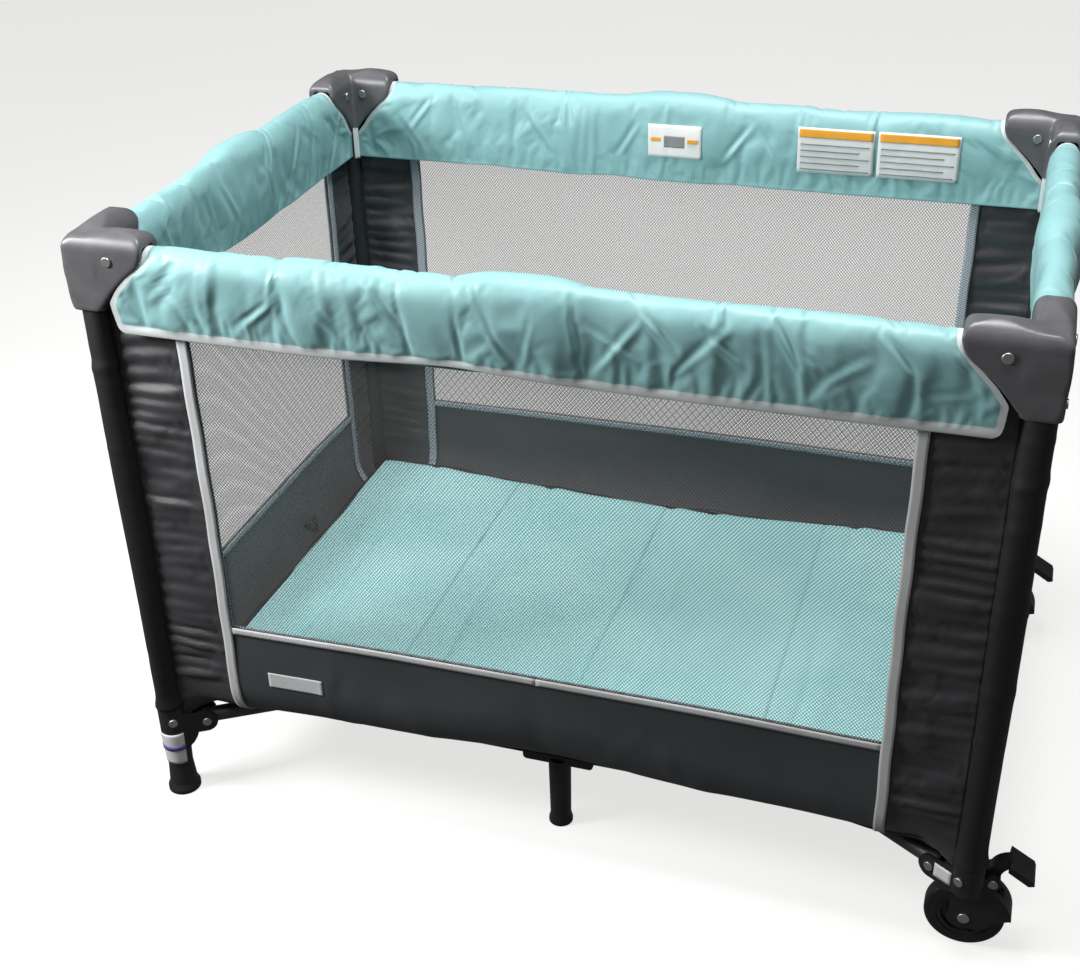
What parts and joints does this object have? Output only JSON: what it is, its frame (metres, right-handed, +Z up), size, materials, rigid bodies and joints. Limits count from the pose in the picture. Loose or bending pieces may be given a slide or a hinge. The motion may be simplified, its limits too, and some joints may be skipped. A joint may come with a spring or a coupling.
{
  "type": "folding playpen",
  "caption": "Folding rectangular playpen: padded fabric-covered rails that fold at middle latches, netting walls, X-shaped folding base, brake wheels at one end and a folding mattress.",
  "frame": {"origin": "centre of the object's footprint on the floor, brake pedals included", "axes": "+X along the long sides towards the wheeled end, +Y from the front to the back, +Z up"},
  "size_m": [1.035, 0.68, 0.74],
  "materials": {
    "sleeve_fabric": "woven polyester",
    "steel_tube": "grey powder coat",
    "casting_plastic": "fine-textured satin",
    "bracket_plastic": "satin",
    "rivet_steel": "plated",
    "tyre_plastic": "satin",
    "cover_fabric": "smooth polyester with puckers",
    "mattress_fabric": "fine-ribbed polyester",
    "button_plastic": "satin",
    "netting": "fine knitted mesh, see-through",
    "panel_fabric": "woven polyester",
    "light_tape": "grosgrain binding tape",
    "label_white": "plain printed label"
  },
  "bodies": {
    "leg_front_left": {"leg_front_left": "steel_tube", "corner_casting_front_left": "casting_plastic", "fasteners_front_left": "rivet_steel", "tub_corner_front_left": "panel_fabric", "foot_front_left": "bracket_plastic"},
    "base_tube_front_left": {"base_tube_front_left": "steel_tube"},
    "leg_front_right": {"leg_front_right": "steel_tube", "corner_casting_front_right": "casting_plastic", "fasteners_front_right": "rivet_steel", "tub_corner_front_right": "panel_fabric", "wheel_bracket_front": "bracket_plastic"},
    "base_tube_front_right": {"base_tube_front_right": "steel_tube"},
    "leg_back_left": {"leg_back_left": "steel_tube", "corner_casting_back_left": "casting_plastic", "fasteners_back_left": "rivet_steel", "tub_corner_back_left": "panel_fabric", "foot_back_left": "bracket_plastic"},
    "base_tube_back_left": {"base_tube_back_left": "steel_tube"},
    "leg_back_right": {"leg_back_right": "steel_tube", "corner_casting_back_right": "casting_plastic", "fasteners_back_right": "rivet_steel", "tub_corner_back_right": "panel_fabric", "wheel_bracket_back": "bracket_plastic"},
    "base_tube_back_right": {"base_tube_back_right": "steel_tube"},
    "rail_front_left": {"rail_front_left": "steel_tube"},
    "rail_front_right": {"rail_front_right": "steel_tube"},
    "latch_front": {"latch_housing_front": "bracket_plastic", "rail_cover_front": "cover_fabric"},
    "button_front": {"latch_button_front": "button_plastic"},
    "rail_right_front": {"rail_right_front": "steel_tube"},
    "rail_right_back": {"rail_right_back": "steel_tube"},
    "latch_right": {"latch_housing_right": "bracket_plastic", "rail_cover_right": "cover_fabric"},
    "button_right": {"latch_button_right": "button_plastic"},
    "rail_back_left": {"rail_back_left": "steel_tube"},
    "rail_back_right": {"rail_back_right": "steel_tube"},
    "latch_back": {"latch_housing_back": "bracket_plastic", "rail_cover_back": "cover_fabric"},
    "button_back": {"latch_button_back": "button_plastic"},
    "rail_left_front": {"rail_left_front": "steel_tube"},
    "rail_left_back": {"rail_left_back": "steel_tube"},
    "latch_left": {"latch_housing_left": "bracket_plastic", "rail_cover_left": "cover_fabric"},
    "button_left": {"latch_button_left": "button_plastic"},
    "hub": {"hub": "bracket_plastic", "hub_pins": "rivet_steel"},
    "middle_arm_front": {"middle_arm_front": "steel_tube"},
    "middle_foot_front": {"middle_foot_front": "bracket_plastic"},
    "wheel_front": {"wheel_hub_front": "bracket_plastic", "tyre_front": "tyre_plastic"},
    "pedal_front": {"brake_pedal_front": "bracket_plastic"},
    "middle_arm_back": {"middle_arm_back": "steel_tube"},
    "middle_foot_back": {"middle_foot_back": "bracket_plastic"},
    "wheel_back": {"wheel_hub_back": "bracket_plastic", "tyre_back": "tyre_plastic"},
    "pedal_back": {"brake_pedal_back": "bracket_plastic"},
    "mattress_1": {"mattress_panel_1": "mattress_fabric"},
    "mattress_2": {"mattress_panel_2": "mattress_fabric"},
    "mattress_3": {"mattress_panel_3": "mattress_fabric"},
    "mattress_4": {"mattress_panel_4": "mattress_fabric"}
  },
  "joints": [
    {"name": "frame_fold", "type": "hinge", "parent": "leg_front_left", "child": "base_tube_front_left", "pos_m": [-0.46268, -0.29663, 0.102], "axis": [0.5341, -0.8454, 0], "range_deg": [0, 85], "deforming": ["tub_corner_front_left", "tub_corner_front_right", "tub_corner_back_left", "tub_corner_back_right", "rail_cover_front", "rail_cover_back", "rail_cover_left", "rail_cover_right", "mattress_panel_1", "mattress_panel_2", "mattress_panel_3", "mattress_panel_4"]},
    {"name": "hub_turn", "type": "hinge", "parent": "base_tube_front_left", "child": "hub", "pos_m": [-0.04168, -0.03063, 0.102], "axis": [0.5341, -0.8454, 0], "range_deg": [-85, 0]},
    {"name": "base_tube_fold_front_right", "type": "hinge", "parent": "hub", "child": "base_tube_front_right", "pos_m": [-0.00532, -0.03063, 0.102], "axis": [0.5341, 0.8454, 0], "range_deg": [0, 85]},
    {"name": "leg_turn_front_right", "type": "hinge", "parent": "base_tube_front_right", "child": "leg_front_right", "pos_m": [0.41568, -0.29663, 0.102], "axis": [0.5341, 0.8454, 0], "range_deg": [-85, 0]},
    {"name": "base_tube_fold_back_left", "type": "hinge", "parent": "hub", "child": "base_tube_back_left", "pos_m": [-0.04168, 0.03063, 0.102], "axis": [-0.5341, -0.8454, 0], "range_deg": [0, 85]},
    {"name": "leg_turn_back_left", "type": "hinge", "parent": "base_tube_back_left", "child": "leg_back_left", "pos_m": [-0.46268, 0.29663, 0.102], "axis": [-0.5341, -0.8454, 0], "range_deg": [-85, 0]},
    {"name": "base_tube_fold_back_right", "type": "hinge", "parent": "hub", "child": "base_tube_back_right", "pos_m": [-0.00532, 0.03063, 0.102], "axis": [-0.5341, 0.8454, 0], "range_deg": [0, 85]},
    {"name": "leg_turn_back_right", "type": "hinge", "parent": "base_tube_back_right", "child": "leg_back_right", "pos_m": [0.41568, 0.29663, 0.102], "axis": [-0.5341, 0.8454, 0], "range_deg": [-85, 0]},
    {"name": "rail_fold_front_left", "type": "hinge", "parent": "leg_front_left", "child": "rail_front_left", "pos_m": [-0.4625, -0.318, 0.71], "axis": [0, 1, 0], "range_deg": [0, 85]},
    {"name": "latch_turn_front", "type": "hinge", "parent": "rail_front_left", "child": "latch_front", "pos_m": [-0.0415, -0.318, 0.71], "axis": [0, 1, 0], "range_deg": [-85, 0]},
    {"name": "latch_press_front", "type": "slide", "parent": "latch_front", "child": "button_front", "axis": [0, 0, 1], "range_m": [0, 0.0045], "stiffness_N_per_m": 600, "springref_m": -0.004},
    {"name": "rail_fold_front_right", "type": "hinge", "parent": "leg_front_right", "child": "rail_front_right", "pos_m": [0.4155, -0.318, 0.71], "axis": [0, -1, 0], "range_deg": [0, 85]},
    {"name": "rail_fold_right_front", "type": "hinge", "parent": "leg_front_right", "child": "rail_right_front", "pos_m": [0.4495, -0.284, 0.71], "axis": [-1, 0, 0], "range_deg": [0, 85]},
    {"name": "latch_turn_right", "type": "hinge", "parent": "rail_right_front", "child": "latch_right", "pos_m": [0.4495, -0.018, 0.71], "axis": [-1, 0, 0], "range_deg": [-85, 0]},
    {"name": "latch_press_right", "type": "slide", "parent": "latch_right", "child": "button_right", "axis": [0, 0, 1], "range_m": [0, 0.0045], "stiffness_N_per_m": 600, "springref_m": -0.004},
    {"name": "rail_fold_right_back", "type": "hinge", "parent": "leg_back_right", "child": "rail_right_back", "pos_m": [0.4495, 0.284, 0.71], "axis": [1, 0, 0], "range_deg": [0, 85]},
    {"name": "rail_fold_back_left", "type": "hinge", "parent": "leg_back_left", "child": "rail_back_left", "pos_m": [-0.4625, 0.318, 0.71], "axis": [0, 1, 0], "range_deg": [0, 85]},
    {"name": "latch_turn_back", "type": "hinge", "parent": "rail_back_left", "child": "latch_back", "pos_m": [-0.0415, 0.318, 0.71], "axis": [0, 1, 0], "range_deg": [-85, 0]},
    {"name": "latch_press_back", "type": "slide", "parent": "latch_back", "child": "button_back", "axis": [0, 0, 1], "range_m": [0, 0.0045], "stiffness_N_per_m": 600, "springref_m": -0.004},
    {"name": "rail_fold_back_right", "type": "hinge", "parent": "leg_back_right", "child": "rail_back_right", "pos_m": [0.4155, 0.318, 0.71], "axis": [0, -1, 0], "range_deg": [0, 85]},
    {"name": "rail_fold_left_front", "type": "hinge", "parent": "leg_front_left", "child": "rail_left_front", "pos_m": [-0.4965, -0.284, 0.71], "axis": [-1, 0, 0], "range_deg": [0, 85]},
    {"name": "latch_turn_left", "type": "hinge", "parent": "rail_left_front", "child": "latch_left", "pos_m": [-0.4965, -0.018, 0.71], "axis": [-1, 0, 0], "range_deg": [-85, 0]},
    {"name": "latch_press_left", "type": "slide", "parent": "latch_left", "child": "button_left", "axis": [0, 0, 1], "range_m": [0, 0.0045], "stiffness_N_per_m": 600, "springref_m": -0.004},
    {"name": "rail_fold_left_back", "type": "hinge", "parent": "leg_back_left", "child": "rail_left_back", "pos_m": [-0.4965, 0.284, 0.71], "axis": [1, 0, 0], "range_deg": [0, 85]},
    {"name": "middle_arm_fold_front", "type": "hinge", "parent": "hub", "child": "middle_arm_front", "pos_m": [-0.0235, -0.016, 0.102], "axis": [1, 0, 0], "range_deg": [0, 90]},
    {"name": "middle_foot_turn_front", "type": "hinge", "parent": "middle_arm_front", "child": "middle_foot_front", "pos_m": [-0.0235, -0.243, 0.102], "axis": [1, 0, 0], "range_deg": [-90, 0]},
    {"name": "middle_arm_fold_back", "type": "hinge", "parent": "hub", "child": "middle_arm_back", "pos_m": [-0.0235, 0.016, 0.102], "axis": [-1, 0, 0], "range_deg": [0, 90]},
    {"name": "middle_foot_turn_back", "type": "hinge", "parent": "middle_arm_back", "child": "middle_foot_back", "pos_m": [-0.0235, 0.243, 0.102], "axis": [-1, 0, 0], "range_deg": [-90, 0]},
    {"name": "mattress_wrap", "type": "hinge", "parent": "leg_front_left", "child": "mattress_1", "pos_m": [-0.26082, -0.34674, 0.10942], "axis": [0.5774, -0.5774, -0.5774], "range_deg": [0, 120]},
    {"name": "mattress_fold_1", "type": "hinge", "parent": "mattress_1", "child": "mattress_2", "pos_m": [-0.251, 0, 0.1431], "axis": [0, -1, 0], "range_deg": [0, 90]},
    {"name": "mattress_fold_2", "type": "hinge", "parent": "mattress_2", "child": "mattress_3", "pos_m": [-0.0235, 0, 0.1431], "axis": [0, -1, 0], "range_deg": [0, 90]},
    {"name": "mattress_fold_3", "type": "hinge", "parent": "mattress_3", "child": "mattress_4", "pos_m": [0.204, 0, 0.1431], "axis": [0, -1, 0], "range_deg": [0, 90]},
    {"name": "wheel_spin_front", "type": "hinge", "parent": "leg_front_right", "child": "wheel_front", "pos_m": [0.4515, -0.298, 0.0425], "axis": [0, 1, 0], "continuous": true},
    {"name": "brake_press_front", "type": "hinge", "parent": "leg_front_right", "child": "pedal_front", "pos_m": [0.4755, -0.298, 0.098], "axis": [0, 1, 0], "range_deg": [0, 16]},
    {"name": "wheel_spin_back", "type": "hinge", "parent": "leg_back_right", "child": "wheel_back", "pos_m": [0.4515, 0.298, 0.0425], "axis": [0, 1, 0], "continuous": true},
    {"name": "brake_press_back", "type": "hinge", "parent": "leg_back_right", "child": "pedal_back", "pos_m": [0.4755, 0.298, 0.098], "axis": [0, 1, 0], "range_deg": [0, 16]}
  ],
  "couplings": [
    {"joint": "hub_turn", "follows": "frame_fold", "ratio": -1},
    {"joint": "base_tube_fold_front_right", "follows": "frame_fold", "ratio": 1},
    {"joint": "leg_turn_front_right", "follows": "frame_fold", "ratio": -1},
    {"joint": "base_tube_fold_back_left", "follows": "frame_fold", "ratio": 1},
    {"joint": "leg_turn_back_left", "follows": "frame_fold", "ratio": -1},
    {"joint": "base_tube_fold_back_right", "follows": "frame_fold", "ratio": 1},
    {"joint": "leg_turn_back_right", "follows": "frame_fold", "ratio": -1},
    {"joint": "rail_fold_front_left", "follows": "frame_fold", "ratio": 1},
    {"joint": "latch_turn_front", "follows": "frame_fold", "ratio": -1},
    {"joint": "rail_fold_front_right", "follows": "frame_fold", "ratio": 1},
    {"joint": "rail_fold_right_front", "follows": "frame_fold", "ratio": 1},
    {"joint": "latch_turn_right", "follows": "frame_fold", "ratio": -1},
    {"joint": "rail_fold_right_back", "follows": "frame_fold", "ratio": 1},
    {"joint": "rail_fold_back_left", "follows": "frame_fold", "ratio": 1},
    {"joint": "latch_turn_back", "follows": "frame_fold", "ratio": -1},
    {"joint": "rail_fold_back_right", "follows": "frame_fold", "ratio": 1},
    {"joint": "rail_fold_left_front", "follows": "frame_fold", "ratio": 1},
    {"joint": "latch_turn_left", "follows": "frame_fold", "ratio": -1},
    {"joint": "rail_fold_left_back", "follows": "frame_fold", "ratio": 1},
    {"joint": "middle_arm_fold_front", "follows": "frame_fold", "ratio": 1.0588},
    {"joint": "middle_foot_turn_front", "follows": "frame_fold", "ratio": -1.0588},
    {"joint": "middle_arm_fold_back", "follows": "frame_fold", "ratio": 1.0588},
    {"joint": "middle_foot_turn_back", "follows": "frame_fold", "ratio": -1.0588},
    {"joint": "mattress_wrap", "follows": "frame_fold", "ratio": 1.4118},
    {"joint": "mattress_fold_1", "follows": "frame_fold", "ratio": 1.0588},
    {"joint": "mattress_fold_2", "follows": "frame_fold", "ratio": 1.0588},
    {"joint": "mattress_fold_3", "follows": "frame_fold", "ratio": 1.0588}
  ]
}
